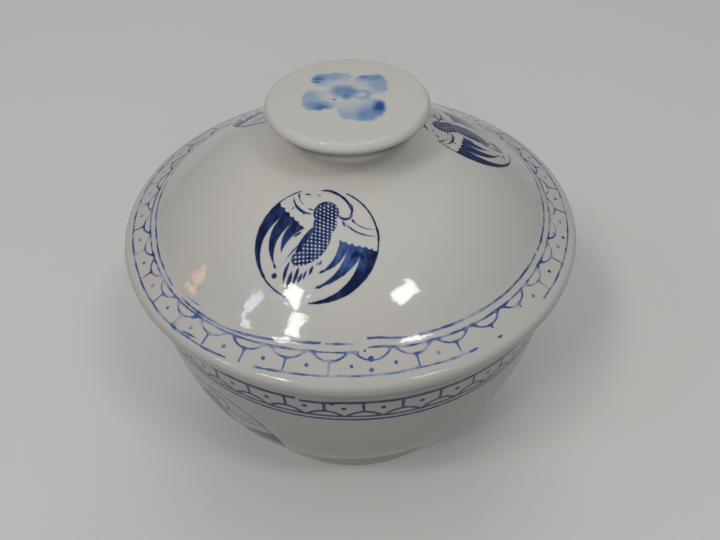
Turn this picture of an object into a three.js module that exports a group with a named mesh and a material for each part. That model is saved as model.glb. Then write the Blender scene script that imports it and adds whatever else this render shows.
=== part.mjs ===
// Covered bowl: a deep footed bowl and a domed lid with a broad brim and a disc knob.
// Sizes in millimetres, +Z up, the foot ring stands on z = 0 and the axis is x = y = 0.

import * as THREE from 'three';

// Turning
const turns_large = 68;
const turns_small = 52;
const curve_steps = 12;
const round_steps = 4;

// Foot ring
const foot_radius = 50.6;
const foot_width = 5.2;
const foot_height = 13.6;
const foot_taper = 0.5;
const foot_edge_round = 0.9;
const recess_depth = 8.6;
const recess_round = 2.4;

// Bowl
const rim_height = 87.5;
const rim_radius = 76.3;
const rim_wall = 4.9;
const rim_round = 0.9;
const belly_start_reach = 27.9;
const belly_start_angle = 35.1;
const belly_end_reach = 34;
const belly_end_angle = 83.4;
const floor_height = 15.8;
const floor_radius = 24;
const inside_drop = 48;
const inside_lean = 3.4;
const inside_sweep = 33;

// Lid brim, which overhangs the bowl's rim
const brim_overhang = 3.7;
const brim_width = 11;
const brim_edge_height = 5.5;
const brim_edge_round_top = 2.6;
const brim_edge_round_under = 1.6;
const brim_slope = 21.8;

// Lid dome, which starts at a shoulder inside the brim
const shoulder_width = 2;
const shoulder_rise = 1.54;
const dome_rise = 25.2;
const dome_power = 2.3;
const dome_wall = 4.9;
const dome_steps = 10;

// Lid flange, which drops inside the bowl's mouth
const flange_clearance = 1.4;
const flange_width = 4.2;
const flange_depth = 5.6;
const flange_round = 1.3;
const flange_root_height = 5.4;

// Knob
const knob_radius = 26.6;
const knob_height = 14.9;
const knob_edge_height = 4.2;
const knob_edge_round_top = 1.5;
const knob_edge_round_under = 2.2;
const knob_foot_radius = 15;
const knob_seat_margin = 0.8;
const knob_neck_radius = 11;
const knob_foot_flare = 0.8;
const knob_waist = 1;
const knob_under_rise = 1.1;

const glaze_colour = 0xc9c9c4;
const glaze_roughness = 0.12;

const radians = (degrees) => degrees * Math.PI / 180;

// Brim and dome, worked out from the rim that the lid rests on
const brim_radius = rim_radius + brim_overhang;
const brim_inner_radius = brim_radius - brim_width;
const brim_edge_centre = brim_radius - brim_edge_round_top;
const brim_edge_middle = rim_height + brim_edge_height - brim_edge_round_top;
const brim_start_radius = brim_edge_centre + brim_edge_round_top * Math.sin(radians(brim_slope));
const brim_start_height = brim_edge_middle + brim_edge_round_top * Math.cos(radians(brim_slope));
const brim_run = brim_start_radius - brim_inner_radius;
const brim_end_height = brim_start_height + brim_run * Math.tan(radians(brim_slope));
const dome_foot_radius = brim_inner_radius - shoulder_width;
const dome_foot_height = brim_end_height + shoulder_rise;
const knob_seat_radius = knob_foot_radius + knob_seat_margin;
const knob_seat_height = dome_height(knob_seat_radius);

// Dome outside, height at a radius
function dome_height(radius) {
  return dome_foot_height + dome_rise * (1 - Math.pow(radius / dome_foot_radius, dome_power));
}

// Turn a half outline, which starts and ends on the axis, about +Z
function turned(name, outline, turns) {
  const geometry = new THREE.LatheGeometry(outline, turns);
  geometry.rotateX(Math.PI / 2);
  const material = new THREE.MeshStandardMaterial({
    color: glaze_colour,
    roughness: glaze_roughness,
    metalness: 0,
  });
  material.name = `${name}_glaze`;
  const mesh = new THREE.Mesh(geometry, material);
  mesh.name = name;
  return mesh;
}

// Round a corner of an outline with an arc that runs between two directions, in degrees
function corner(path, x, y, radius, from, to, clockwise = false) {
  path.absarc(x, y, radius, radians(from), radians(to), clockwise);
}

// Points of an outline, with fewer points on the small rounds than on the long curves
function outline_points(path) {
  const points = [];
  for (const curve of path.curves) {
    let steps = 1;
    if (curve.isEllipseCurve) {
      steps = round_steps;
    } else if (curve.isCubicBezierCurve) {
      steps = curve_steps;
    } else if (curve.isSplineCurve) {
      steps = dome_steps;
    }
    for (const point of curve.getPoints(steps)) {
      const last = points[points.length - 1];
      if (!last || last.distanceTo(point) > 1e-6) {
        points.push(point);
      }
    }
  }
  return points;
}

// Bowl outline: recess under the base, foot ring, belly, rim, inside, floor
function bowl_outline() {
  const path = new THREE.Path();
  const foot_inner = foot_radius - foot_width;
  const foot_top_radius = foot_radius - foot_taper;
  const wall_inner = rim_radius - rim_wall;
  path.moveTo(0, recess_depth);
  path.lineTo(foot_inner - recess_round, recess_depth);
  corner(path, foot_inner - recess_round, recess_depth - recess_round, recess_round, 90, 0, true);
  path.lineTo(foot_inner, foot_edge_round);
  corner(path, foot_inner + foot_edge_round, foot_edge_round, foot_edge_round, 180, 270);
  path.lineTo(foot_radius - foot_edge_round, 0);
  corner(path, foot_radius - foot_edge_round, foot_edge_round, foot_edge_round, -90, 0);
  path.lineTo(foot_top_radius, foot_height);
  const rim_start = rim_height - rim_round;
  const start = radians(belly_start_angle);
  const end = radians(belly_end_angle);
  path.bezierCurveTo(
    foot_top_radius + belly_start_reach * Math.cos(start),
    foot_height + belly_start_reach * Math.sin(start),
    rim_radius - belly_end_reach * Math.cos(end),
    rim_start - belly_end_reach * Math.sin(end),
    rim_radius,
    rim_start,
  );
  corner(path, rim_radius - rim_round, rim_start, rim_round, 0, 90);
  path.lineTo(wall_inner + rim_round, rim_height);
  corner(path, wall_inner + rim_round, rim_start, rim_round, 90, 180);
  path.bezierCurveTo(
    wall_inner - inside_lean,
    rim_start - inside_drop,
    floor_radius + inside_sweep,
    floor_height,
    floor_radius,
    floor_height,
  );
  path.lineTo(0, floor_height);
  return outline_points(path);
}

// Lid outline: inside of the dome, flange, flat seat, brim, dome, flat seat for the knob
function lid_outline() {
  const path = new THREE.Path();
  const seat = rim_height;
  const flange_outer = rim_radius - rim_wall - flange_clearance;
  const flange_inner = flange_outer - flange_width;
  const flange_end = seat - flange_depth;
  const apex = knob_seat_height - dome_wall;
  const root = seat + flange_root_height;
  path.moveTo(0, apex);
  const inside = [];
  for (let step = 0; step <= dome_steps; step += 1) {
    const radius = flange_inner * Math.sqrt(step / dome_steps);
    const height = apex - (apex - root) * Math.pow(radius / flange_inner, dome_power);
    inside.push(new THREE.Vector2(radius, height));
  }
  path.splineThru(inside);
  path.lineTo(flange_inner, flange_end + flange_round);
  corner(path, flange_inner + flange_round, flange_end + flange_round, flange_round, 180, 270);
  path.lineTo(flange_outer - flange_round, flange_end);
  corner(path, flange_outer - flange_round, flange_end + flange_round, flange_round, -90, 0);
  path.lineTo(flange_outer, seat);
  path.lineTo(brim_radius - brim_edge_round_under, seat);
  const under_centre = brim_radius - brim_edge_round_under;
  corner(path, under_centre, seat + brim_edge_round_under, brim_edge_round_under, -90, 0);
  corner(path, brim_edge_centre, brim_edge_middle, brim_edge_round_top, 0, 90 - brim_slope);
  path.lineTo(brim_inner_radius, brim_end_height);
  const outside = [];
  for (let step = 0; step <= dome_steps; step += 1) {
    const share = Math.sqrt(1 - step / dome_steps);
    const radius = knob_seat_radius + (dome_foot_radius - knob_seat_radius) * share;
    outside.push(new THREE.Vector2(radius, dome_height(radius)));
  }
  path.lineTo(outside[0].x, outside[0].y);
  path.splineThru(outside.slice(1));
  path.lineTo(0, outside[dome_steps].y);
  return outline_points(path);
}

// Knob outline: flat foot, waisted neck, flared underside, rounded edge, flat top
function knob_outline() {
  const path = new THREE.Path();
  const foot = knob_seat_height;
  const knob_top = foot + knob_height;
  const under = knob_top - knob_edge_height;
  const under_centre = knob_radius - knob_edge_round_under;
  const top_centre = knob_radius - knob_edge_round_top;
  path.moveTo(0, foot);
  path.lineTo(knob_foot_radius, foot);
  path.bezierCurveTo(
    knob_neck_radius,
    foot + knob_foot_flare,
    knob_neck_radius - knob_waist,
    under - knob_under_rise,
    under_centre,
    under,
  );
  corner(path, under_centre, under + knob_edge_round_under, knob_edge_round_under, -90, 0);
  path.lineTo(knob_radius, knob_top - knob_edge_round_top);
  corner(path, top_centre, knob_top - knob_edge_round_top, knob_edge_round_top, 0, 90);
  path.lineTo(0, knob_top);
  return outline_points(path);
}

const covered_bowl = new THREE.Group();
covered_bowl.name = 'covered_bowl';
covered_bowl.add(turned('bowl', bowl_outline(), turns_large));
covered_bowl.add(turned('lid', lid_outline(), turns_large));
covered_bowl.add(turned('lid_knob', knob_outline(), turns_small));

export default covered_bowl;
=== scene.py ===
# Covered bowl: glaze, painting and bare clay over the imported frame, with lengths in millimetres

import math
from dataclasses import dataclass
from functools import reduce

import bpy
from mathutils import Matrix, Vector


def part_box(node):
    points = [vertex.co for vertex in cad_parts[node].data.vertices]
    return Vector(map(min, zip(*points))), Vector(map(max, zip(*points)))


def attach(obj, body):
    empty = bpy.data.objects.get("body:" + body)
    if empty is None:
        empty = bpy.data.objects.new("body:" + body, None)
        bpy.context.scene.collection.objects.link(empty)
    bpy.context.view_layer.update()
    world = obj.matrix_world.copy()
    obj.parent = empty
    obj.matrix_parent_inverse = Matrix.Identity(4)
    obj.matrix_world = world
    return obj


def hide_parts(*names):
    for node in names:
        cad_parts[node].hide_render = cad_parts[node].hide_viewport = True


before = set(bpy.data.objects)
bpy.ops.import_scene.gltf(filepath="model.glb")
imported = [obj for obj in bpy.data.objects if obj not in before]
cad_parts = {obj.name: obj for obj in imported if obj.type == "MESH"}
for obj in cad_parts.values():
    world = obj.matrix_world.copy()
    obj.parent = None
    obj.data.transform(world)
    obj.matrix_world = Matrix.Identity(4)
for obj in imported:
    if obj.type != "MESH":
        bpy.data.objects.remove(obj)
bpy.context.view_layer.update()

MM = 0.001


def node_box(name):
    """Lowest and highest corner of a CAD node, in millimetres."""
    low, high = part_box(name)
    return low / MM, high / MM


_, bowl_high = node_box("bowl")
lid_low, lid_high = node_box("lid")
knob_low, knob_high = node_box("lid_knob")

# Foot ring
foot_radius = 50.6
foot_width = 5.2
foot_height = 13.6
foot_taper = 0.5
foot_edge_round = 0.9
recess_depth = 8.6
recess_round = 2.4

# Bowl, whose belly leaves the foot and meets the rim with a reach and an angle
rim_height = bowl_high.z
rim_radius = bowl_high.x
rim_wall = 4.9
rim_round = 0.9
belly_start = (27.9, math.radians(35.1))
belly_end = (34.0, math.radians(83.4))
floor_height = 15.8
floor_radius = 24.0
inside_drop = 48.0
inside_lean = 3.4
inside_sweep = 33.0

# Lid
brim_radius = lid_high.x
brim_width = 11.0
brim_edge_height = 5.5
brim_round_top = 2.6
brim_round_under = 1.6
brim_slope = math.radians(21.8)
shoulder_width = 2.0
shoulder_rise = 1.54
shoulder_round = 1.6
dome_power = 2.3
dome_wall = 4.9
flange_clearance = 1.4
flange_width = 4.2
flange_depth = rim_height - lid_low.z
flange_round = 1.3
flange_root_height = 5.4

# Knob, whose neck bends towards two points, each a radius and a height off the foot or the underside
knob_radius = knob_high.x
knob_edge_height = 4.2
knob_round_top = 1.6
knob_round_under = 1.9
knob_edge_tilt = 35
knob_foot_radius = 15.0
knob_seat_margin = 0.8
knob_neck_low = (11.0, 0.8)
knob_neck_high = (10.0, 1.1)
knob_under = knob_high.z - knob_edge_height

# Brim and dome, from the rim that the lid rests on
brim_inner = brim_radius - brim_width
brim_edge_centre = brim_radius - brim_round_top
brim_edge_middle = rim_height + brim_edge_height - brim_round_top
brim_start = brim_edge_centre + brim_round_top * math.sin(brim_slope)
brim_start_height = brim_edge_middle + brim_round_top * math.cos(brim_slope)
brim_end_height = brim_start_height + (brim_start - brim_inner) * math.tan(brim_slope)
dome_foot = brim_inner - shoulder_width
dome_foot_height = brim_end_height + shoulder_rise
knob_seat_radius = knob_foot_radius + knob_seat_margin
dome_rise = (lid_high.z - dome_foot_height) / (1 - (knob_seat_radius / dome_foot) ** dome_power)

# Fineness of the turned meshes
turns = 192
round_steps = 10
shoulder_steps = 12
curve_steps = 48
belly_steps = 64
same_point = 1e-4
on_axis = 1e-6
sharp_angle = math.radians(40)


def dome_height(radius):
    """Height of the dome's outside at a radius."""
    return dome_foot_height + dome_rise * (1 - (radius / dome_foot) ** dome_power)


def dome_slope(radius):
    """Angle of the dome's outside below the level, at a radius."""
    fall = dome_rise * dome_power / dome_foot * (radius / dome_foot) ** (dome_power - 1)
    return math.atan(fall)


class Outline:
    """A half outline, from the axis round to the axis again, as points of radius and height."""

    def __init__(self, radius, height):
        self.points = [(radius, height)]

    def add(self, radius, height):
        """A point, unless the outline is there already."""
        if math.dist(self.points[-1], (radius, height)) > same_point:
            self.points.append((radius, height))

    def line(self, radius, height, steps=1):
        """A straight stretch from the last point."""
        start_radius, start_height = self.points[-1]
        for step in range(1, steps + 1):
            share = step / steps
            step_radius = start_radius + (radius - start_radius) * share
            step_height = start_height + (height - start_height) * share
            self.add(step_radius, step_height)

    def arc(self, radius, height, size, start, end, steps=round_steps):
        """A round about a centre, between two directions in degrees."""
        for step in range(steps + 1):
            angle = math.radians(start + (end - start) * step / steps)
            self.add(radius + size * math.cos(angle), height + size * math.sin(angle))

    def curve(self, *controls, steps=curve_steps):
        """A Bezier curve from the last point over the control points."""
        points = [self.points[-1], *controls]
        degree = len(points) - 1
        for step in range(1, steps + 1):
            share = step / steps
            radius = 0
            height = 0
            for index, point in enumerate(points):
                weight = math.comb(degree, index) * share ** index * (1 - share) ** (degree - index)
                radius += weight * point[0]
                height += weight * point[1]
            self.add(radius, height)

    def graph(self, start, end, height, steps=curve_steps):
        """Heights over the radii from start to end."""
        for step in range(steps + 1):
            radius = start + (end - start) * step / steps
            self.add(radius, height(radius))

    @property
    def last(self):
        """Index of the last point."""
        return len(self.points) - 1


def bowl_outline():
    """Recess, foot ring, belly and rim, then the inside: the outline, and where the inside starts."""
    foot_inner = foot_radius - foot_width
    foot_top = foot_radius - foot_taper
    wall_inner = rim_radius - rim_wall
    rim_start = rim_height - rim_round
    outline = Outline(0, recess_depth)
    outline.line(foot_inner - recess_round, recess_depth, steps=6)
    outline.arc(foot_inner - recess_round, recess_depth - recess_round, recess_round, 90, 0)
    outline.line(foot_inner, foot_edge_round, steps=3)
    outline.arc(foot_inner + foot_edge_round, foot_edge_round, foot_edge_round, 180, 270)
    outline.line(foot_radius - foot_edge_round, 0, steps=2)
    outline.arc(foot_radius - foot_edge_round, foot_edge_round, foot_edge_round, -90, 0)
    outline.line(foot_top, foot_height, steps=8)
    start_reach, start_angle = belly_start
    end_reach, end_angle = belly_end
    outline.curve(
        (foot_top + start_reach * math.cos(start_angle), foot_height + start_reach * math.sin(start_angle)),
        (rim_radius - end_reach * math.cos(end_angle), rim_start - end_reach * math.sin(end_angle)),
        (rim_radius, rim_start),
        steps=belly_steps,
    )
    outline.arc(rim_radius - rim_round, rim_start, rim_round, 0, 90)
    split = outline.last
    outline.line(wall_inner + rim_round, rim_height, steps=3)
    outline.arc(wall_inner + rim_round, rim_start, rim_round, 90, 180)
    outline.curve(
        (wall_inner - inside_lean, rim_start - inside_drop),
        (floor_radius + inside_sweep, floor_height),
        (floor_radius, floor_height),
    )
    outline.line(0, floor_height, steps=4)
    return outline.points, split


def lid_outline():
    """Inside, flange and seat, then the brim and dome: the outline, and where the brim starts."""
    seat = rim_height
    flange_outer = rim_radius - rim_wall - flange_clearance
    flange_inner = flange_outer - flange_width
    flange_end = seat - flange_depth
    apex = lid_high.z - dome_wall
    root = seat + flange_root_height
    under_centre = brim_radius - brim_round_under
    shoulder_start = brim_inner + shoulder_round
    shoulder_end = dome_foot - shoulder_round
    outline = Outline(0, apex)
    outline.graph(0, flange_inner, lambda r: apex - (apex - root) * (r / flange_inner) ** dome_power)
    outline.line(flange_inner, flange_end + flange_round, steps=3)
    outline.arc(flange_inner + flange_round, flange_end + flange_round, flange_round, 180, 270)
    outline.line(flange_outer - flange_round, flange_end)
    outline.arc(flange_outer - flange_round, flange_end + flange_round, flange_round, -90, 0)
    outline.line(flange_outer, seat, steps=2)
    outline.line(under_centre, seat, steps=4)
    split = outline.last
    outline.arc(under_centre, seat + brim_round_under, brim_round_under, -90, 0)
    outline.arc(brim_edge_centre, brim_edge_middle, brim_round_top, 0, 90 - math.degrees(brim_slope))
    outline.line(shoulder_start, brim_end_height - shoulder_round * math.tan(brim_slope), steps=8)
    outline.curve(
        (brim_inner, brim_end_height),
        (dome_foot, dome_foot_height),
        (shoulder_end, dome_height(shoulder_end)),
        steps=shoulder_steps,
    )
    outline.graph(shoulder_end, knob_seat_radius, dome_height)
    outline.line(0, lid_high.z, steps=3)
    return outline.points, split


def knob_outline():
    """Foot, neck and underside, then the edge and top: the outline, and where the edge starts."""
    under_centre = knob_radius - knob_round_under
    tilt = math.radians(knob_edge_tilt)
    rise = knob_edge_height - knob_round_top - knob_round_under
    inset = knob_round_under - knob_round_top - rise * math.sin(tilt)
    top_centre = under_centre + inset / math.cos(tilt)
    outline = Outline(0, knob_low.z)
    outline.line(knob_foot_radius, knob_low.z, steps=2)
    outline.curve(
        (knob_neck_low[0], knob_low.z + knob_neck_low[1]),
        (knob_neck_high[0], knob_under - knob_neck_high[1]),
        (under_centre, knob_under),
    )
    split = outline.last
    outline.arc(under_centre, knob_under + knob_round_under, knob_round_under, -90, knob_edge_tilt)
    outline.arc(top_centre, knob_high.z - knob_round_top, knob_round_top, knob_edge_tilt, 90)
    outline.line(0, knob_high.z, steps=8)
    return outline.points, split


# The bake map has a large disc for the painted side and a small one in its corner for the other
large_disc = (Vector((0.47, 0.53)), 0.465)
small_disc = (Vector((0.88, 0.12)), 0.115)


def map_stretches(points, split, painted_first):
    """For each stretch between two points: its middle on the bake map, and its two radii there."""
    lengths = [0]
    for near, far in zip(points, points[1:]):
        lengths.append(lengths[-1] + math.dist(near, far))
    first, second = (large_disc, small_disc) if painted_first else (small_disc, large_disc)
    rest = lengths[-1] - lengths[split]
    stretches = []
    for index in range(len(points) - 1):
        ends = (lengths[index], lengths[index + 1])
        if index < split:
            middle, size = first
            shares = [length / lengths[split] for length in ends]
        else:
            middle, size = second
            shares = [(lengths[-1] - length) / rest for length in ends]
        stretches.append((middle, [share * size for share in shares]))
    return stretches


def direction(turn):
    """Level direction at a step of the turning, from the front round to the right."""
    angle = 2 * math.pi * turn / turns
    return math.sin(angle), -math.cos(angle)


def turned_rings(points):
    """Vertices of a turned outline, in metres, and the ring of them at each point, one on the axis."""
    vertices = []
    rings = []
    for radius, height in points:
        first = len(vertices)
        count = 1 if radius < on_axis else turns
        for turn in range(count):
            x, y = direction(turn)
            vertices.append((radius * x * MM, radius * y * MM, height * MM))
        rings.append(range(first, first + count))
    return vertices, rings


def turned_face(near, far, middle, radii, turn):
    """A face between two rings: its vertices, and their places on the bake map."""
    near_radius, far_radius = radii
    walk = [(near, near_radius, 0), (near, near_radius, 1), (far, far_radius, 1), (far, far_radius, 0)]
    vertices = []
    places = []
    for ring, radius, step in walk:
        pole = len(ring) == 1
        if pole and step == 1:
            continue
        vertices.append(ring[(turn + step) % len(ring)])
        places.append(middle + radius * Vector(direction(turn + (0.5 if pole else step))))
    return vertices, places


def add_object(name, data):
    """A new object in the scene."""
    made = bpy.data.objects.new(name, data)
    bpy.context.scene.collection.objects.link(made)
    return made


def turned(name, outline, painted_first, material):
    """A mesh turned about the axis from a half outline, closed at both poles, with its bake map."""
    points, split = outline
    vertices, rings = turned_rings(points)
    faces = []
    maps = []
    stretches = map_stretches(points, split, painted_first)
    for near, far, (middle, radii) in zip(rings, rings[1:], stretches):
        for turn in range(turns):
            face, places = turned_face(near, far, middle, radii, turn)
            faces.append(face)
            maps.append(places)
    mesh = bpy.data.meshes.new(name)
    mesh.from_pydata(vertices, [], faces)
    layer = mesh.uv_layers.new(name="OFBake")
    for polygon, places in zip(mesh.polygons, maps):
        for loop, place in zip(polygon.loop_indices, places):
            layer.data[loop].uv = place
    mesh.shade_smooth()
    mesh.set_sharp_from_angle(angle=sharp_angle)
    mesh.materials.append(material)
    return add_object(name, mesh)


def linear(red, green, blue):
    """A colour from its screen values of 0 to 255, by the sRGB curve."""
    shares = [value / 255 for value in (red, green, blue)]
    return [s / 12.92 if s < 0.04045 else ((s + 0.055) / 1.055) ** 2.4 for s in shares] + [1]


class Field:
    """A number, place or colour that varies over a surface: one output of a material's nodes."""

    def __init__(self, tree, socket):
        self.tree = tree
        self.socket = socket

    def __add__(self, other):
        return calculate("ADD", self, other)

    def __radd__(self, other):
        return calculate("ADD", other, self)

    def __sub__(self, other):
        return calculate("SUBTRACT", self, other)

    def __rsub__(self, other):
        return calculate("SUBTRACT", other, self)

    def __mul__(self, other):
        return calculate("MULTIPLY", self, other)

    def __neg__(self):
        return calculate("MULTIPLY", self, -1)

    def __abs__(self):
        return calculate("ABSOLUTE", self)


def put(value, socket):
    """Link a field to a socket, or set a plain value on it."""
    if isinstance(value, Field):
        value.tree.links.new(value.socket, socket)
    else:
        socket.default_value = value


def tree_of(values):
    """Node tree of the first field among the values."""
    return next(value.tree for value in values if isinstance(value, Field))


def calculate(operation, *values):
    """A Math node on fields and plain numbers."""
    tree = tree_of(values)
    node = tree.nodes.new("ShaderNodeMath")
    node.operation = operation
    for value, socket in zip(values, node.inputs):
        put(value, socket)
    return Field(tree, node.outputs[0])


def least(*values):
    """Least of the values: where they are distances to shapes, the shapes joined."""
    return reduce(lambda first, second: calculate("MINIMUM", first, second), values)


def most(*values):
    """Greatest of the values: where they are distances to shapes, what the shapes share."""
    return reduce(lambda first, second: calculate("MAXIMUM", first, second), values)


def merge(blend, *values):
    """Shapes joined with the corners between them filled, as ink runs together."""
    return reduce(lambda first, second: calculate("SMOOTH_MIN", first, second, blend), values)


def fade(value, start, end):
    """0 before start, 1 past end, and smooth between them."""
    node = value.tree.nodes.new("ShaderNodeMapRange")
    node.interpolation_type = "SMOOTHSTEP"
    put(value, node.inputs["Value"])
    put(start, node.inputs["From Min"])
    put(end, node.inputs["From Max"])
    return Field(value.tree, node.outputs["Result"])


def spot(across, along):
    """A place on the surface, from two lengths."""
    tree = tree_of((across, along))
    node = tree.nodes.new("ShaderNodeCombineXYZ")
    put(across, node.inputs[0])
    put(along, node.inputs[1])
    return Field(tree, node.outputs[0])


def distance(place, centre):
    """How far a place lies from a centre."""
    node = place.tree.nodes.new("ShaderNodeVectorMath")
    node.operation = "DISTANCE"
    put(place, node.inputs[0])
    put((*centre, 0), node.inputs[1])
    return Field(place.tree, node.outputs["Value"])


@dataclass
class Unevenness:
    """Soft patches by chance: their size, how fine they are, a shift that sets them apart, how strong."""

    size: float
    detail: float
    shift: float
    strength: float = 1.0


def noise(place, patches):
    """Unevenness from about -0.5 to 0.5, times its strength."""
    node = place.tree.nodes.new("ShaderNodeTexNoise")
    node.noise_dimensions = "4D"
    put(place, node.inputs["Vector"])
    put(patches.shift, node.inputs["W"])
    put(1 / patches.size, node.inputs["Scale"])
    put(patches.detail, node.inputs["Detail"])
    return (Field(place.tree, node.outputs["Fac"]) - 0.5) * patches.strength


def disc(place, centre, radius):
    """Distance to a round patch."""
    return distance(place, centre) - radius


def side(place, tip, root, bow, below):
    """Distance to an arc from tip to root that bows to the left, on the side below it or above it."""
    start = Vector(tip)
    chord = Vector(root) - start
    left = Vector((-chord.y, chord.x)).normalized()
    half = chord.length / 2
    radius = (half ** 2 + bow ** 2) / (2 * abs(bow))
    centre = start + chord / 2 + left * math.copysign(1, bow) * (abs(bow) - radius)
    inside = (bow > 0) == below
    reach = distance(place, centre)
    return reach - radius if inside else radius - reach


def feather(place, tip, root, bow_a, bow_b):
    """A stroke between two arcs that meet at its tip and root."""
    low, high = sorted((bow_a, bow_b))
    return most(side(place, tip, root, high, True), side(place, tip, root, low, False))


class Surface:
    """Places on a turned piece: the point, its distance from the axis and its bearing from the front."""

    def __init__(self, tree):
        coordinates = tree.nodes.new("ShaderNodeTexCoord")
        scale = tree.nodes.new("ShaderNodeVectorMath")
        scale.operation = "SCALE"
        put(1 / MM, scale.inputs["Scale"])
        tree.links.new(coordinates.outputs["Object"], scale.inputs[0])
        split = tree.nodes.new("ShaderNodeSeparateXYZ")
        tree.links.new(scale.outputs[0], split.inputs[0])
        self.tree = tree
        self.normal = Field(tree, coordinates.outputs["Normal"])
        self.point = Field(tree, scale.outputs[0])
        self.x, self.y, self.z = [Field(tree, output) for output in split.outputs]
        self.radius = calculate("SQRT", self.x * self.x + self.y * self.y)
        self.bearing = calculate("ARCTAN2", self.x, -self.y)

    def outward(self):
        """Over 0 where the surface faces away from the axis, and under 0 where it faces the axis."""
        node = self.tree.nodes.new("ShaderNodeVectorMath")
        node.operation = "DOT_PRODUCT"
        put(self.normal, node.inputs[0])
        put(spot(self.x, self.y), node.inputs[1])
        return Field(self.tree, node.outputs["Value"])


@dataclass
class Border:
    """A painted ring: cells with a dot in each, over scallops that stand on the first of two lines."""

    cells: int
    radius: float
    turn: float
    height: float
    line_gap: float
    line_width: float
    scallop_height: float
    scallop_share: float
    divider_width: float
    dot_height: float
    dot_radius: float
    blend: float

    @property
    def pitch(self):
        """Length of a cell along the ring."""
        return 2 * math.pi * self.radius / self.cells


def paint_cells(border, across, bearing):
    """Distances to a border's scallops, dividers and dots, from a height over its first line."""
    turn = (bearing - border.turn) * (border.cells / (2 * math.pi)) + 0.5
    along = (turn - calculate("FLOOR", turn) - 0.5) * border.pitch
    half = border.scallop_share * border.pitch
    rise = border.scallop_height
    radius = (half ** 2 + rise ** 2) / (2 * rise)
    ring = disc(spot(along, across), (0, rise - radius), radius)
    scallops = most(abs(ring) - border.line_width / 2, -across)
    dividers = most(abs(along) - border.divider_width / 2, rise - across, across - border.height)
    dots = disc(spot(abs(along), across), (border.pitch / 2, border.dot_height), border.dot_radius)
    return scallops, dividers, dots


def leave_out(shape, bearing, radius, gaps):
    """A shape with stretches missing, each given by its middle and half its width in degrees."""
    for middle, half in gaps:
        shape = most(shape, (math.radians(half) - abs(bearing - math.radians(middle))) * radius)
    return shape


def swell(bearing, start, full, hold, end):
    """A bump along a bearing, in degrees: 0 up to start, 1 from full to hold, and 0 again past end."""
    rise = fade(bearing, math.radians(start), math.radians(full))
    return rise * fade(bearing, math.radians(end), math.radians(hold))


# Border on the brim, which sags, slips at a seam and misses stretches
brim_border = Border(
    cells=36,
    radius=73.0,
    turn=math.radians(4.4),
    height=7.0,
    line_gap=2.3,
    line_width=0.6,
    scallop_height=2.6,
    scallop_share=0.42,
    divider_width=0.58,
    dot_height=4.1,
    dot_radius=0.6,
    blend=1.5,
)
brim_line_radius = 70.05
brim_beads = Unevenness(3.2, 2, 8.2, 0.6)
brim_sway = Unevenness(34, 1, 1.7, 0.9)
brim_shake = Unevenness(7, 2, 2.3, 0.5)
brim_outer_sway = Unevenness(12, 1, 5.7, 0.7)
brim_sag = 1.4
brim_squeeze = 1.3
brim_sag_stretch = (-78, -45, -38, -5)
brim_cell_shift = math.radians(4.2)
brim_shift_stretch = (-36, -80, -110, -170)
brim_slip = 1.2
brim_slip_stretch = (1.5, 3.1, 5, 14)
brim_first_gaps = [(2.3, 1.1)]
brim_second_gaps = [(-51.5, 2.4), (-7.4, 0.6), (1.8, 1.6), (62.4, 0.7), (-150, 3), (118, 2)]
brim_outer_gaps = [(-25.4, 3.3), (39.7, 11.2), (130, 6), (-120, 4)]
brim_divider_gaps = [(4.4, 1.5), (74.4, 1.5)]
brim_dot_gaps = [(29.4, 2), (39.4, 2)]
brim_stub_middle = math.radians(39.4)
brim_stub_half = math.radians(8)
brim_stub_height = 3.9
brim_blots = [
    ((5.0, 2.2), 0.95),
    ((4.8, 5.5), 0.65),
    ((3.3, -0.3), 0.35),
    ((4.2, 7.0), 0.45),
    ((17.6, 6.8), 0.5),
    ((93.5, 2.2), 0.8),
    ((93.9, 5.4), 0.65),
]
brim_smears = [
    ((-60.2, 7.0), (-50.6, 7.0), 0.6, -0.5),
    ((-54.0, 6.4), (-47.8, 5.6), 0.35, -0.3),
    ((-54.6, 2.0), (-51.4, -0.2), 0.55, -0.3),
    ((-55.0, -0.5), (-51.2, -1.0), 0.3, -0.25),
    ((-56.6, 2.2), (-56.5, 6.9), 0.2, -0.15),
    ((-62.4, -2.3), (-53.5, -2.7), 0.25, -0.2),
    ((43.0, 7.0), (45.0, 7.1), 0.4, -0.35),
]


def brim_dividers(dividers, across, bearing, cell_bearing):
    """The brim's dividers, with two left out and some cut down to stubs."""
    radius = brim_border.radius
    cut = (abs(bearing - brim_stub_middle) - brim_stub_half) * radius
    cut = most(cut, brim_stub_height - across)
    return most(leave_out(dividers, cell_bearing, radius, brim_divider_gaps), -cut)


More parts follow.
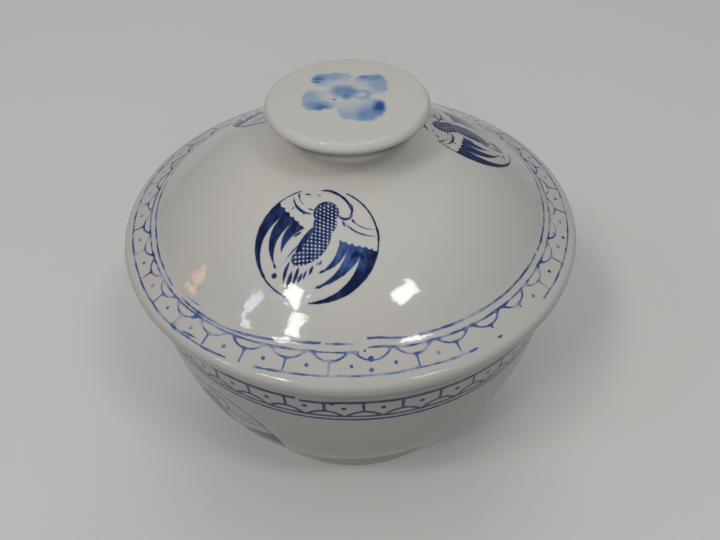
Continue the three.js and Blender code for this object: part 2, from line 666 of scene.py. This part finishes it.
def paint_brim(surface):
    """Distance to the lines of the brim's border."""
    border = brim_border
    bearing = surface.bearing
    beads = noise(surface.point, brim_beads)
    sag = swell(bearing, *brim_sag_stretch)
    waver = noise(surface.point, brim_sway) + noise(surface.point, brim_shake)
    across = (surface.radius - brim_line_radius) * (1 / math.cos(brim_slope)) - sag * brim_sag + waver
    cell_bearing = bearing - swell(bearing, *brim_shift_stretch) * brim_cell_shift
    scallops, dividers, dots = paint_cells(border, across, cell_bearing)
    dividers = brim_dividers(dividers, across, bearing, cell_bearing)
    inner = across + swell(bearing, *brim_slip_stretch) * brim_slip
    outer = across - border.height + noise(surface.point, brim_outer_sway)
    second = inner + border.line_gap - sag * brim_squeeze
    half_line = border.line_width / 2 + beads
    first = leave_out(abs(inner) - half_line, bearing, border.radius, brim_first_gaps)
    second = leave_out(abs(second) - half_line, bearing, border.radius, brim_second_gaps)
    outer = leave_out(abs(outer) - half_line, bearing, border.radius, brim_outer_gaps)
    dots = leave_out(dots + beads, bearing, border.radius, brim_dot_gaps)
    unrolled = spot(bearing * border.radius, across)
    blots = [disc(unrolled, *blot) for blot in brim_blots]
    smears = [feather(unrolled, *smear) for smear in brim_smears]
    return least(merge(border.blend, scallops, dividers, first), second, outer, dots, *blots, *smears)


# Border under the bowl's rim, which tilts a little and has one seam in its top line
bowl_border = Border(
    cells=39,
    radius=75.5,
    turn=math.radians(2.0),
    height=8.45,
    line_gap=2.05,
    line_width=1.1,
    scallop_height=2.8,
    scallop_share=0.46,
    divider_width=1.0,
    dot_height=4.85,
    dot_radius=0.85,
    blend=0.9,
)
bowl_line_height = 70.7
bowl_border_tilt = 0.027
bowl_beads = Unevenness(3, 2, 8.2)
bowl_sway = Unevenness(30, 1, 1.7, 0.5)
bowl_shake = Unevenness(7, 2, 2.3, 0.4)
bowl_cell_sway = Unevenness(30, 1, 4.4, 0.015)
bowl_second_beads = 0.2
bowl_top_beads = 0.4
bowl_dot_beads = 0.5
bowl_top_line = 1.5
bowl_slip = 0.8
bowl_slip_stretch = (-13.5, -13.1, -9, -2)
bowl_top_gaps = [(-13.3, 0.45), (104, 0.6), (-150, 0.7)]
bowl_blot = ((-7.0, 7.6), 1.0)


def paint_bowl_border(surface):
    """Distance to the lines of the bowl's border."""
    border = bowl_border
    bearing = surface.bearing
    beads = noise(surface.point, bowl_beads)
    waver = noise(surface.point, bowl_sway) + noise(surface.point, bowl_shake)
    across = surface.z - bowl_line_height + surface.x * bowl_border_tilt + waver
    cell_bearing = bearing + noise(surface.point, bowl_cell_sway)
    scallops, dividers, dots = paint_cells(border, across, cell_bearing)
    top = across - border.height + swell(bearing, *bowl_slip_stretch) * bowl_slip
    top = abs(top) - bowl_top_line / 2 - beads * bowl_top_beads
    top = leave_out(top, bearing, border.radius, bowl_top_gaps)
    first = abs(across) - border.line_width / 2
    second = abs(across + border.line_gap) - border.line_width / 2 - beads * bowl_second_beads
    dots = dots + beads * bowl_dot_beads
    blot = disc(spot(bearing * border.radius, across), *bowl_blot)
    return least(merge(border.blend, scallops, dividers, first, top), second, dots, blot)


# Wings of the bird roundel, in millimetres from its centre
roundel_radius = 18.6
left_wing_edges = [
    ((-14.4, 12.0), (-4.1, 3.9), -0.2, True),
    ((-4.1, 3.9), (-9.7, -4.9), -1.1, True),
]
left_wing_gaps = [
    ((-13.1, 5.8), ((-12.7, -12.9), -3.5), ((-11.0, -8.8), -2.3)),
    ((-9.2, 4.1), ((-10.9, -8.8), -1.9), ((-9.7, -4.9), -1.0)),
]
left_wing_clear = [((-9.2, -13.0), 3.7), ((-5.0, -17.6), 3.4)]
left_scallops = [(-12.7, 11.2), (-10.9, 9.6), (-9.1, 8.2), (-7.2, 7.0), (-5.4, 5.6)]
right_wing_edges = [
    ((7.0, 1.8), (18.7, 1.0), -0.2, True),
    ((7.0, 1.8), (3.3, -9.2), 1.3, False),
    ((3.3, -9.2), (2.5, -18.7), 0.1, False),
]
right_wing_gaps = [
    ((9.6, -2.1), ((3.4, -9.2), 1.1), ((2.8, -13.6), 1.6)),
    ((13.8, -3.0), ((2.9, -14.0), 1.6), ((2.7, -17.9), 3.0)),
]
right_scallops = [(8.1, 2.3), (10.0, 1.9), (12.0, 1.7), (14.0, 1.7), (16.0, 1.6), (17.8, 1.4)]
scallop_radius = 0.95

# Brush strokes of the roundel: two ends, and the bows of the stroke's two sides
strokes = [
    ((-7.2, 0.5), (-4.8, 2.8), 0.35, -0.4),
    ((-3.4, 0.2), (-8.0, -7.4), -0.55, -0.1),
    ((-4.9, -1.8), (-7.4, -5.8), -0.25, 0.15),
    ((-10.3, 14.4), (-2.6, 9.0), -2.4, -1.4),
    ((-9.0, 10.9), (-10.0, 9.7), -0.25, 0.3),
    ((-5.9, 9.6), (-5.4, 8.3), -0.4, 0.3),
    ((-8.9, 15.9), (-8.3, 13.8), -0.45, 0.25),
    ((-8.7, 14.6), (-6.6, 11.9), -0.4, -0.15),
    ((-7.2, 15.7), (-4.8, 15.6), 0.3, -0.25),
    ((-3.2, 15.8), (-1.8, 15.6), 0.2, -0.15),
    ((-4.9, 10.7), (-2.4, 10.3), 0.15, -0.35),
    ((-2.7, 17.5), (9.0, 10.6), 3.1, 2.2),
    ((-2.7, 17.4), (4.6, 16.0), 1.5, 0.5),
    ((7.4, 14.6), (8.0, 9.4), 1.3, 0.6),
    ((9.0, 11.2), (4.6, 10.6), 2.6, 1.7),
    ((16.4, 8.9), (18.4, 1.8), 0.9, 0.1),
    ((6.6, 8.2), (17.6, 5.2), -1.9, -1.3),
    ((6.4, 8.3), (7.8, 6.2), -0.5, 0.3),
    ((9.2, 9.1), (16.7, 7.3), -1.3, -0.9),
    ((9.1, 9.2), (10.4, 7.9), -0.35, 0.3),
    ((-6.3, -6.8), (-7.0, -14.0), -1.0, 0.1),
    ((-5.2, -9.8), (-5.9, -15.0), -0.5, 0.8),
    ((-3.4, -8.2), (-4.2, -14.2), -0.5, 0.7),
    ((-2.0, -10.0), (-2.8, -13.3), -0.5, 0.6),
    ((-0.9, -9.0), (-1.4, -12.0), -0.35, 0.4),
    ((0.8, -7.3), (0.1, -10.6), -0.4, 0.5),
    ((3.0, -5.4), (2.5, -7.0), -0.3, 0.35),
    ((2.2, -6.0), (1.8, -7.1), -0.15, 0.15),
    ((-11.2, -8.0), (-10.3, -9.9), -0.5, 0.3),
    ((4.9, -8.1), (2.9, -9.3), 0.45, -0.45),
    ((5.0, -12.9), (2.6, -13.9), 0.5, -0.5),
]
lone_dot = ((-10.3, -12.0), 0.85)
ring_line = 0.55
ring_gaps = [((-1.6, 18.6), 7.2), ((-2.0, -18.6), 3.6)]

# The bird's body, and the part of it that has scales
body_shape = ((2.2, 8.0), (-5.0, -8.4), 5.3, -3.0)
body_discs = [((1.0, 10.0), 3.9), ((1.6, 6.2), 3.6), ((-4.2, -6.0), 2.1)]
scale_shape = ((2.6, 7.8), (-4.6, -8.8), 5.6, -1.6)
scale_discs = [((1.5, 9.6), 3.5), ((2.4, 5.8), 3.4), ((-3.6, -6.2), 2.2)]
scale_pitch = (1.22, 1.16)
scale_lean = 0.2
scale_spread = 0.035
scale_ink = 1.05
scale_softness = 0.22
scale_margin_softness = 0.4


def paint_wing(place, edges, gaps, scallops, clear=()):
    """A wing inside the roundel: dark but for the gaps between its feathers and a scalloped top.

    An edge is an arc: two ends, its bow to the left, and whether the wing lies below it.
    A gap between feathers has a tip, then the end and bow of each of its two sides.
    """
    wing = most(disc(place, (0, 0), roundel_radius), *[side(place, *edge) for edge in edges])
    light = [disc(place, centre, scallop_radius) for centre in scallops]
    light += [disc(place, *part) for part in clear]
    for tip, near, far in gaps:
        light.append(most(side(place, tip, *near, False), side(place, tip, *far, True)))
    return most(wing, -least(*light))


def paint_body(place, across, along):
    """The bird's body: dark, with rows of light scales that stop short of its left edge."""
    body = least(feather(place, *body_shape), *[disc(place, *part) for part in body_discs])
    scaled = least(feather(place, *scale_shape), *[disc(place, *part) for part in scale_discs])
    columns = calculate("COSINE", (across + along * scale_lean) * (2 * math.pi / scale_pitch[0]))
    rows = calculate("COSINE", along * (across * scale_spread + 1) * (2 * math.pi / scale_pitch[1]))
    scales = (columns + rows - scale_ink) * scale_softness
    return most(body, least(scales, -scaled * scale_margin_softness))


def paint_bird(across, along):
    """Distance to the roundel's painted strokes, with its centre at the origin."""
    place = spot(across, along)
    left = paint_wing(place, left_wing_edges, left_wing_gaps, left_scallops, left_wing_clear)
    right = paint_wing(place, right_wing_edges, right_wing_gaps, right_scallops)
    body = paint_body(place, across, along)
    ring = abs(disc(place, (0, 0), roundel_radius)) - ring_line / 2
    ring = most(ring, *[-disc(place, *gap) for gap in ring_gaps])
    lines = least(*[feather(place, *stroke) for stroke in strokes])
    return least(left, right, body, ring, lines, disc(place, *lone_dot))


# Ink of the roundel: how much darker or thinner it is at the edge, in the right wing and by chance
edge_reach = (10, 18)
edge_ink = 0.15
thin_wing = ((11.0, -1.5), 8.0)
thin_ink = -0.28
dark_wing = ((14.6, -9.8), 6.0)
dark_ink = 0.25
wing_reach = (0.0, -4.5)
loop_stroke = ((11.7, -3.8), (14.9, -3.4), 2.6, 1.4)
loop_edge = (0.3, -0.2)
loop_ink = 0.32
streak_stretch = 0.25
bird_streaks = Unevenness(1.5, 3, 4.1, 0.9)
bird_mottle = Unevenness(3.4, 3, 6.0, 0.8)


def bird_depth(across, along):
    """How dark the roundel's ink is: streaky, most at its edge and in the loop, thin in the right wing."""
    place = spot(across, along)
    edge = fade(distance(place, (0, 0)), *edge_reach) * edge_ink
    thin = fade(disc(place, *thin_wing), *wing_reach) * thin_ink
    dark = fade(disc(place, *dark_wing), *wing_reach) * dark_ink
    loop = fade(feather(place, *loop_stroke), *loop_edge) * loop_ink
    streaks = noise(spot(across, along * streak_stretch), bird_streaks)
    return edge + thin + dark + loop + streaks + noise(place, bird_mottle)


@dataclass
class Roundel:
    """Where roundels lie on a turned piece, how many go round it, and how one is turned and scaled.

    A nudge turns the roundels between two bearings by an angle in degrees, and moves them out.
    """

    bearing: float
    copies: int
    radius: float
    height: float
    slope: float
    turn: float
    scale: float
    nudges: tuple = ()


def roundel_place(surface, roundel):
    """How far right and up of the nearest roundel a place lies, seen square to its centre."""
    share = 2 * math.pi / roundel.copies
    bearing = surface.bearing - roundel.bearing
    middle = roundel.radius
    for start, end, turned_by, moved_out in roundel.nudges:
        stretch = swell(surface.bearing, start - 1, start, end, end + 1)
        bearing = bearing - stretch * math.radians(turned_by)
        middle = stretch * moved_out + middle
    turn = bearing * (1 / share) + 0.5
    around = (turn - calculate("FLOOR", turn) - 0.5) * share
    right = surface.radius * calculate("SINE", around)
    inward = middle - surface.radius * calculate("COSINE", around)
    up = inward * math.cos(roundel.slope) + (surface.z - roundel.height) * math.sin(roundel.slope)
    cosine = math.cos(roundel.turn) / roundel.scale
    sine = math.sin(roundel.turn) / roundel.scale
    return right * cosine + up * sine, up * cosine - right * sine


# Bird roundels on the lid and the bowl
lid_roundel_radius = 43.4
lid_roundel = Roundel(
    bearing=math.radians(-14.0),
    copies=3,
    radius=lid_roundel_radius,
    height=dome_height(lid_roundel_radius),
    slope=dome_slope(lid_roundel_radius),
    turn=0.0,
    scale=1.0,
    nudges=((48, 170, 3.2, 1.5), (-170, -78, -10.0, 0.5)),
)
bowl_roundel = Roundel(
    bearing=math.radians(-41.5),
    copies=2,
    radius=69.1,
    height=39.4,
    slope=math.radians(108.3),
    turn=math.radians(17),
    scale=1.27,
)


def mix_colour(share, first, second):
    """First colour where the share is 0, second where it is 1."""
    node = share.tree.nodes.new("ShaderNodeMix")
    node.data_type = "RGBA"
    put(share, node.inputs["Factor"])
    put(first, node.inputs["A"])
    put(second, node.inputs["B"])
    return Field(share.tree, node.outputs["Result"])


def ramp(value, *stops):
    """Colours at values from 0 to 1."""
    node = value.tree.nodes.new("ShaderNodeValToRGB")
    put(value, node.inputs[0])
    elements = node.color_ramp.elements
    while len(elements) < len(stops):
        elements.new(0.5)
    for element, (position, colour) in zip(elements, stops):
        element.position = position
        element.color = colour
    return Field(value.tree, node.outputs["Color"])


# Colours
glaze_cool = linear(175, 175, 170)
glaze_warm = linear(178, 174, 168)
speck_colour = linear(104, 96, 86)
biscuit_pale = linear(186, 172, 150)
biscuit_dark = linear(160, 142, 118)
cobalt = (
    (0.0, linear(132, 148, 176)),
    (0.35, linear(68, 92, 138)),
    (0.65, linear(38, 58, 104)),
    (1.0, linear(13, 22, 56)),
)
flower_blue = (
    (0.0, linear(158, 166, 174)),
    (0.3, linear(130, 147, 166)),
    (0.6, linear(88, 116, 154)),
    (1.0, linear(32, 66, 122)),
)

# Glaze and bare clay
glaze_roughness = 0.07
dull_roughness = 0.45
biscuit_roughness = 0.65
glaze_ior = 1.5
glaze_specular = 0.3
glaze_patches = Unevenness(42, 3, 0.0)
biscuit_grain = Unevenness(0.9, 3, 5.0)
patch_reach = 0.2
speck_pitch = 9.0
speck_sizes = Unevenness(14, 0, 7.3, 1.6)
speck_loss = 0.28
speck_edge = 0.1
speck_strength = 0.7
glaze_waves = [
    Unevenness(22, 1, 3.1),
    Unevenness(6, 1, 6.3),
    Unevenness(2.4, 1, 1.1, 0.26),
]
bump_strength = 0.35
bump_height = 0.35


def patchy(surface, patches, first, second):
    """Two colours in soft patches."""
    share = fade(noise(surface.point, patches), -patch_reach, patch_reach)
    return mix_colour(share, first, second)


def glaze_colour(surface):
    """Pale glaze with faint warm patches and a few iron specks."""
    base = patchy(surface, glaze_patches, glaze_cool, glaze_warm)
    node = surface.tree.nodes.new("ShaderNodeTexVoronoi")
    put(surface.point, node.inputs["Vector"])
    put(1 / speck_pitch, node.inputs["Scale"])
    put(1, node.inputs["Randomness"])
    away = Field(surface.tree, node.outputs["Distance"]) * speck_pitch
    size = noise(surface.point, speck_sizes) - speck_loss
    specks = fade(away - size, speck_edge, -speck_edge) * speck_strength
    return mix_colour(specks, base, speck_colour)


def new_material(name):
    """A material, its node tree and its shader."""
    material = bpy.data.materials.new(name)
    material.use_nodes = True
    tree = material.node_tree
    shader = tree.nodes["Principled BSDF"]
    return material, tree, shader


def finish_glaze(surface, shader, painted, paint, bare=None, dull=None):
    """Paint under a glossy, slightly uneven glaze, with bare clay or dull glaze where the shares say."""
    shader.inputs["IOR"].default_value = glaze_ior
    shader.inputs["Specular IOR Level"].default_value = glaze_specular
    shader.inputs["Roughness"].default_value = glaze_roughness
    colour = mix_colour(painted, glaze_colour(surface), paint)
    if bare is not None:
        colour = mix_colour(bare, colour, patchy(surface, biscuit_grain, biscuit_pale, biscuit_dark))
        put(bare * (biscuit_roughness - glaze_roughness) + glaze_roughness, shader.inputs["Roughness"])
    if dull is not None:
        put(dull * (dull_roughness - glaze_roughness) + glaze_roughness, shader.inputs["Roughness"])
    put(colour, shader.inputs["Base Color"])
    bump = surface.tree.nodes.new("ShaderNodeBump")
    bump.inputs["Strength"].default_value = bump_strength
    bump.inputs["Distance"].default_value = bump_height * MM
    put(sum(noise(surface.point, wave) for wave in glaze_waves), bump.inputs["Height"])
    surface.tree.links.new(bump.outputs["Normal"], shader.inputs["Normal"])


# Ink of borders and roundels: how its edges bleed, how it flows and wears, and how dark it is, darker on
# the bowl as painted shade
ink_bleed = Unevenness(1.6, 2, 9.1)
ink_flow = Unevenness(6, 3, 2.2, 0.9)
ink_wear = Unevenness(4.5, 2, 3.7)
edge_bleed = 0.4
dark_bleed = 0.3
wear_edge = (-0.2, 0.08)
border_edge = (0.2, -0.15)
bird_edge = (0.22, -0.2)
halo_edge = (1.3, 0.0)
halo_ink = 0.1
brim_ink = 0.62
brim_thin_ink = 0.24
brim_thin_stretch = (-75, -50, 20, 50)
brim_wear = 0.6
lid_bird_ink = 0.82
# The bowl's ink is set darker than the lid's: painted shade of the bowl's side under the brim
bowl_shaded_ink = 0.84
bowl_wear = 0.1
bowl_bird_shaded_ink = 0.95


def ink(surface, border, border_ink, wear, roundel, bird_ink):
    """How much of a place is painted and how dark, from a border's lines and the bird roundels."""
    bleed = noise(surface.point, ink_bleed)
    worn = fade(noise(surface.point, ink_wear), *wear_edge) * wear + (1 - wear)
    border_paint = fade(border + bleed * edge_bleed, *border_edge) * worn
    across, along = roundel_place(surface, roundel)
    bird = paint_bird(across, along)
    bird_paint = fade(bird + bleed * edge_bleed, *bird_edge)
    halo = fade(bird, *halo_edge) * halo_ink
    bird_dark = bird_paint * (bird_depth(across, along) + bird_ink)
    border_dark = border_paint * (noise(surface.point, ink_flow) + bleed * dark_bleed + border_ink)
    return most(border_paint, bird_paint, halo), most(bird_dark, border_dark)


# Where the painting starts and the clay is bare, by height, and how far out a painted face turns
brim_paint_start = (rim_height + 2, rim_height + 3)
seat_bare = (rim_height + 0.3, rim_height + 0.05)
rim_bare = (rim_height - 0.35, rim_height - 0.1)
foot_bare = (0.5, 0.2)
outside_turn = (-1, 1)


def lid_material():
    """Glaze of the lid, with its border and roundels, and bare clay below."""
    material, tree, shader = new_material("lid_glaze")
    surface = Surface(tree)
    border_ink = brim_ink - swell(surface.bearing, *brim_thin_stretch) * brim_thin_ink
    painted, depth = ink(surface, paint_brim(surface), border_ink, brim_wear, lid_roundel, lid_bird_ink)
    above = fade(surface.z, *brim_paint_start)
    bare = fade(surface.z, *seat_bare)
    finish_glaze(surface, shader, painted * above, ramp(depth, *cobalt), bare=bare)
    return material


def bowl_material():
    """Glaze of the bowl, painted on its outside, with bare clay on the rim and under the foot."""
    material, tree, shader = new_material("bowl_glaze")
    surface = Surface(tree)
    border = paint_bowl_border(surface)
    # Deeper ink on the bowl's border and roundels, as painted shade
    painted, depth = ink(surface, border, bowl_shaded_ink, bowl_wear, bowl_roundel, bowl_bird_shaded_ink)
    outside = fade(surface.outward(), *outside_turn)
    bare = most(fade(surface.z, *foot_bare), fade(surface.z, *rim_bare))
    finish_glaze(surface, shader, painted * outside, ramp(depth, *cobalt), bare=bare)
    return material


# Flower on the knob: its petals, then the pools of colour in them, each with its middle and half its size
flower_middle = (-0.6, 3.0)
flower_heart = (4, 12)
heart_wash = 0.5
petal_wash = 0.2
petal_blend = 0.5
petal_power = 2.8
petal_edge = (1.25, 0.6)
petal_rag = 2.2
petals = [
    ((-5.2, 11.2), (6.6, 5.0)),
    ((7.6, 7.6), (6.0, 6.6)),
    ((-8.8, -1.2), (5.9, 6.4)),
    ((4.4, -6.8), (7.4, 7.3)),
    ((0.6, 3.2), (7.6, 7.6)),
]
pool_edge = (1.35, 0.35)
pool_rag = 0.9
pools = [
    ((-0.6, 4.0), (4.4, 4.0), 0.42),
    ((-0.3, 0.2), (1.5, 1.8), 0.25),
    ((4.6, 3.6), (2.8, 1.2), 0.18),
    ((6.9, 1.6), (1.2, 2.4), 0.16),
    ((5.0, -0.4), (2.8, 1.1), 0.14),
    ((-6.4, 13.4), (4.8, 3.0), 0.18),
    ((-9.4, 12.0), (2.6, 2.6), 0.2),
    ((-9.6, 12.0), (2.2, 0.9), 0.3),
    ((-10.2, 10.0), (1.9, 0.8), 0.4),
    ((5.4, 12.9), (2.0, 1.3), 0.3),
    ((8.6, 12.2), (5.0, 2.4), 0.2),
    ((10.6, 8.2), (3.4, 5.0), 0.14),
    ((-12.0, 0.4), (3.2, 5.0), 0.1),
    ((-9.4, -4.4), (4.4, 2.6), 0.3),
    ((-8.2, -5.8), (2.6, 1.7), 0.3),
    ((-8.5, -7.4), (0.7, 1.0), 0.45),
    ((9.8, -6.4), (2.4, 4.8), 0.4),
    ((10.2, -5.2), (1.6, 2.6), 0.5),
    ((6.2, -9.8), (3.8, 4.6), 0.32),
    ((2.0, -11.0), (4.0, 3.0), 0.08),
    ((-4.1, -1.1), (0.7, 0.6), 0.5),
]
flower_rag = Unevenness(6, 4, 6.6)
flower_fray = Unevenness(1.8, 2, 3.3, 0.25)
flower_brush = Unevenness(1.4, 3, 2.8, 0.9)
brush_stretch = 0.3
brush_lean = 0.2
flower_edge = (0.0, 0.26)
flower_start = (knob_high.z - 0.5, knob_high.z - 0.2)
knob_dull = (knob_under, knob_under - 1)


def shrink(surface, middle, half):
    """Places across and along a patch, as shares of half its size."""
    return (surface.x - middle[0]) * (1 / half[0]), (surface.y - middle[1]) * (1 / half[1])


def petal(surface, middle, half):
    """A squarish rounded patch: 0 at its middle and 1 at its edge."""
    across, along = shrink(surface, middle, half)
    return calculate("POWER", abs(across), petal_power) + calculate("POWER", abs(along), petal_power)


def pool(surface, middle, half):
    """A round patch: 0 at its middle and 1 at its edge."""
    return distance(spot(*shrink(surface, middle, half)), (0, 0))


def paint_flower(surface):
    """How strong the flower's blue is: petals that fade towards its heart, with pools of colour in them."""
    rag = noise(surface.point, flower_rag) + noise(surface.point, flower_fray)
    brush = noise(spot(surface.x * brush_stretch + surface.y * brush_lean, surface.y), flower_brush)
    outward = fade(distance(spot(surface.x, surface.y), flower_middle), *flower_heart)
    reach = merge(petal_blend, *[petal(surface, *shape) for shape in petals]) + rag * petal_rag
    strength = (outward * (1 - heart_wash) + heart_wash) * petal_wash
    for middle, half, depth in pools:
        strength = strength + fade(pool(surface, middle, half) + rag * pool_rag, *pool_edge) * depth
    return strength * fade(reach, *petal_edge) * (brush + 1)


def knob_material():
    """Glaze of the knob, with the flower on its top, dull on its neck and underside."""
    material, tree, shader = new_material("knob_glaze")
    surface = Surface(tree)
    strength = paint_flower(surface)
    painted = fade(strength, *flower_edge) * fade(surface.z, *flower_start)
    dull = fade(surface.z, *knob_dull)
    finish_glaze(surface, shader, painted, ramp(strength, *flower_blue), dull=dull)
    return material


for node_name, body, outline, painted_first, material, slot in (
    ("bowl", "bowl", bowl_outline(), True, bowl_material(), "bowl_glaze"),
    ("lid", "lid", lid_outline(), False, lid_material(), "lid_glaze"),
    ("lid_knob", "lid", knob_outline(), False, knob_material(), "knob_glaze"),
):
    piece = turned(f"{node_name}_glazed", outline, painted_first, material)
    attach(piece, body)
    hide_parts(node_name)

# Camera, at the photograph's place
camera_back = 196.8
camera_height = 253.3
camera_shift = 0.4
camera_pitch = math.radians(44.39)
camera_yaw = math.radians(0.80)
camera_roll = math.radians(-0.94)
camera_lens = 35.0
camera_sensor = 36.0
camera_near = 10.0


def add_camera():
    """The camera, turned by its yaw, pitch and roll."""
    data = bpy.data.cameras.new("camera")
    data.lens = camera_lens
    data.sensor_width = camera_sensor
    data.clip_start = camera_near * MM
    forward = Vector((
        math.sin(camera_yaw) * math.cos(camera_pitch),
        math.cos(camera_yaw) * math.cos(camera_pitch),
        -math.sin(camera_pitch),
    ))
    level = forward.cross(Vector((0, 0, 1))).normalized()
    upright = level.cross(forward)
    right = math.cos(camera_roll) * level + math.sin(camera_roll) * upright
    up = math.cos(camera_roll) * upright - math.sin(camera_roll) * level
    camera = add_object("camera", data)
    place = Vector((camera_shift, -camera_back, camera_height)) * MM
    axes = Matrix((right, up, -forward)).transposed()
    camera.matrix_world = Matrix.Translation(place) @ axes.to_4x4()
    bpy.context.scene.camera = camera


# Floor and room, in metres: the floor is pale to look at, and throws less light up on the bowl
floor_half = 3.0
floor_colour = linear(202, 201, 198)
floor_bounce = linear(98, 97, 95)
floor_rays = ("Is Camera Ray", "Is Glossy Ray", "Is Transmission Ray")
floor_roughness = 0.9
floor_specular = 0.1
world_colour = linear(236, 238, 240)
world_strength = 0.26


def add_floor():
    """A plain floor under the foot ring."""
    half = floor_half
    corners = [(-half, -half, 0), (half, -half, 0), (half, half, 0), (-half, half, 0)]
    mesh = bpy.data.meshes.new("floor")
    mesh.from_pydata(corners, [], [(0, 1, 2, 3)])
    material, tree, shader = new_material("floor_paper")
    light_path = tree.nodes.new("ShaderNodeLightPath")
    seen = most(*[Field(tree, light_path.outputs[ray]) for ray in floor_rays])
    put(mix_colour(seen, floor_bounce, floor_colour), shader.inputs["Base Color"])
    shader.inputs["Roughness"].default_value = floor_roughness
    shader.inputs["Specular IOR Level"].default_value = floor_specular
    mesh.materials.append(material)
    floor = add_object("floor", mesh)


def add_world():
    """Even light from all round."""
    world = bpy.data.worlds.new("studio")
    world.use_nodes = True
    background = world.node_tree.nodes["Background"]
    background.inputs["Color"].default_value = world_colour
    background.inputs["Strength"].default_value = world_strength
    bpy.context.scene.world = world


@dataclass
class Lamp:
    """A soft lamp that faces the bowl, in metres and watts, and whether the glaze mirrors it."""

    name: str
    place: tuple
    size: tuple
    power: float
    colour: tuple
    mirrored: bool = True


lamp_aim = (0, 0, 0.09)
lamps = [
    Lamp("lamp_left_high", (-0.70, -0.66, 1.49), (0.26, 0.20), 4.1, (1, 0.99, 0.97)),
    Lamp("lamp_left_low", (-0.69, -0.94, 1.34), (0.19, 0.22), 3.3, (1, 0.99, 0.97)),
    Lamp("lamp_right", (0.62, -0.69, 1.50), (0.30, 0.18), 4.2, (1, 1, 1)),
    Lamp("lamp_window", (-1.16, -0.56, 1.21), (0.12, 0.30), 1.6, (0.78, 0.85, 1)),
    Lamp("lamp_warm", (-1.52, 0.09, 0.85), (0.12, 0.18), 0.5, (1, 0.42, 0.16)),
    Lamp("lamp_top", (0.0, -0.1, 1.9), (1.4, 1.2), 5.0, (0.98, 0.99, 1), mirrored=False),
    Lamp("lamp_front", (0.05, -1.5, 0.75), (1.1, 0.7), 3.4, (1, 1, 1), mirrored=False),
    Lamp("lamp_back", (0.1, 1.4, 0.95), (1.1, 0.7), 4.6, (1, 1, 1), mirrored=False),
]

# Fill lamp for the shadow under the knob, in metres and watts
fill_place = (0.0, -0.97, 0.88)
fill_aim = (0, -0.022, 0.131)
fill_size = 0.05
fill_spread = math.radians(3.8)
fill_softness = 1.0
fill_power = 46
fill_colour = (1, 0.98, 0.95)


def hang_light(data, place, aim, power, colour, mirrored):
    """Hang a lamp at a place, facing another."""
    data.energy = power
    data.color = colour
    light = add_object(data.name, data)
    light.location = place
    light.rotation_mode = "QUATERNION"
    light.rotation_quaternion = (Vector(aim) - Vector(place)).to_track_quat("-Z", "Y")
    light.visible_glossy = mirrored


def add_lamp(lamp):
    """A soft rectangular lamp."""
    data = bpy.data.lights.new(lamp.name, "AREA")
    data.shape = "RECTANGLE"
    data.size, data.size_y = lamp.size
    hang_light(data, lamp.place, lamp_aim, lamp.power, lamp.colour, lamp.mirrored)


def add_knob_fill():
    """A soft-edged spot that fills the shadow under the knob."""
    data = bpy.data.lights.new("lamp_knob", "SPOT")
    data.spot_size = fill_spread
    data.spot_blend = fill_softness
    data.shadow_soft_size = fill_size
    hang_light(data, fill_place, fill_aim, fill_power, fill_colour, mirrored=False)


add_camera()
add_floor()
add_world()
for lamp in lamps:
    add_lamp(lamp)
add_knob_fill()

bpy.context.scene.view_settings.view_transform = "Standard"
